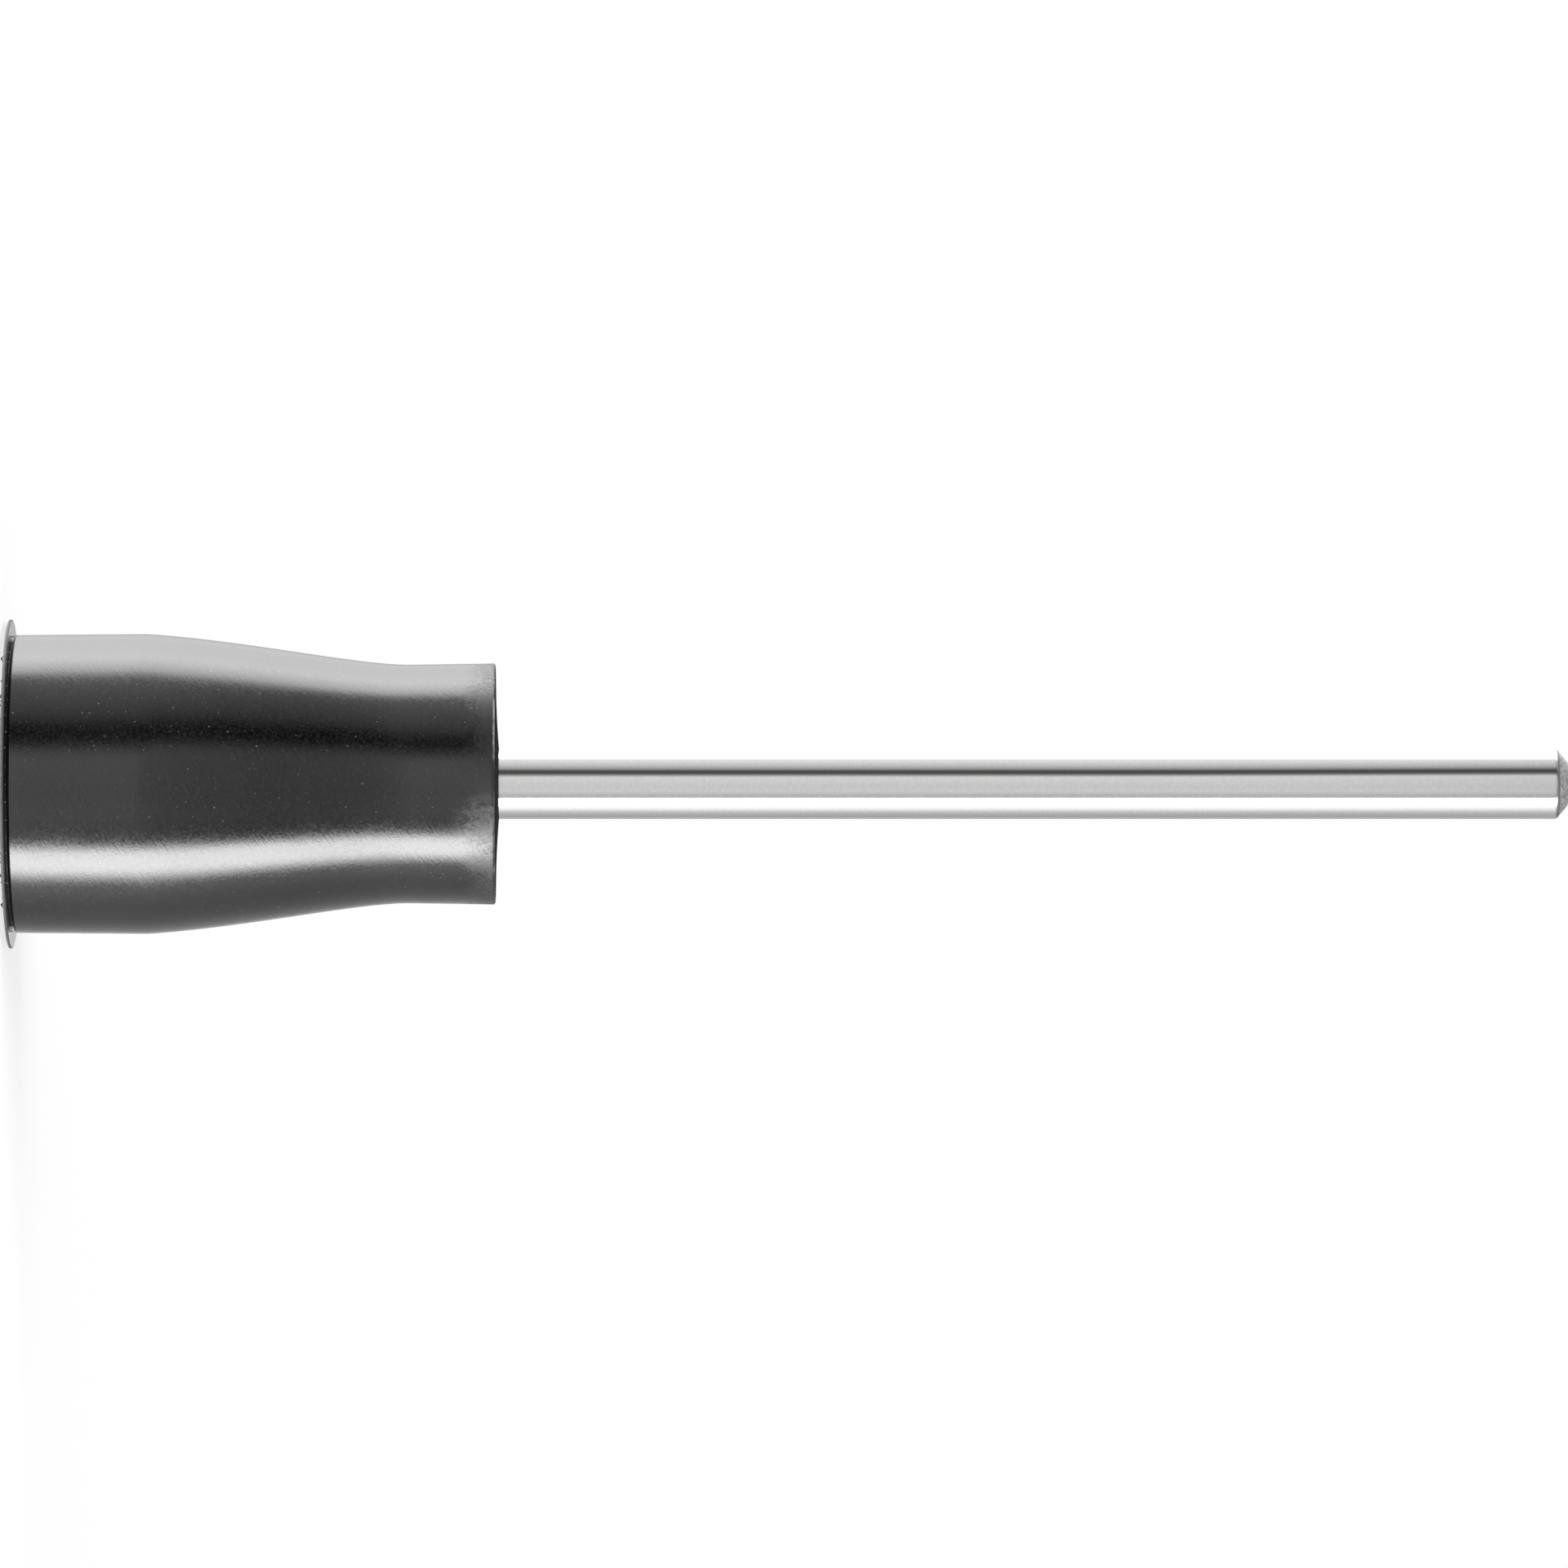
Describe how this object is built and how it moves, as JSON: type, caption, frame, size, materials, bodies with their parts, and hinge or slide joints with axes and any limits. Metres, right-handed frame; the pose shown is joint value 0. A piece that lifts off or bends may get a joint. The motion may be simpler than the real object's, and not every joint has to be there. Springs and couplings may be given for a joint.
{
  "type": "hook and loop pad holder",
  "caption": "Rubber-bodied mandrel with a disc of small moulded hooks on its face and a round steel shank, for loop-backed sanding pads in a rotary tool.",
  "frame": {"origin": "middle of the plane that the hook crowns stand on", "axes": "+Z along the shank, from the hook face towards the shank's free end; X along the rows of hooks"},
  "size_m": [0.014, 0.014, 0.0668],
  "materials": {
    "steel": "ground and polished steel",
    "rubber": "glossy black moulded rubber with fine scuffs",
    "adhesive": "black contact adhesive",
    "hook_plastic": "black moulded nylon"
  },
  "bodies": {
    "root": {"shank": "steel", "rubber_body": "rubber", "adhesive_film": "adhesive", "hook_disc": "hook_plastic"}
  },
  "joints": []
}
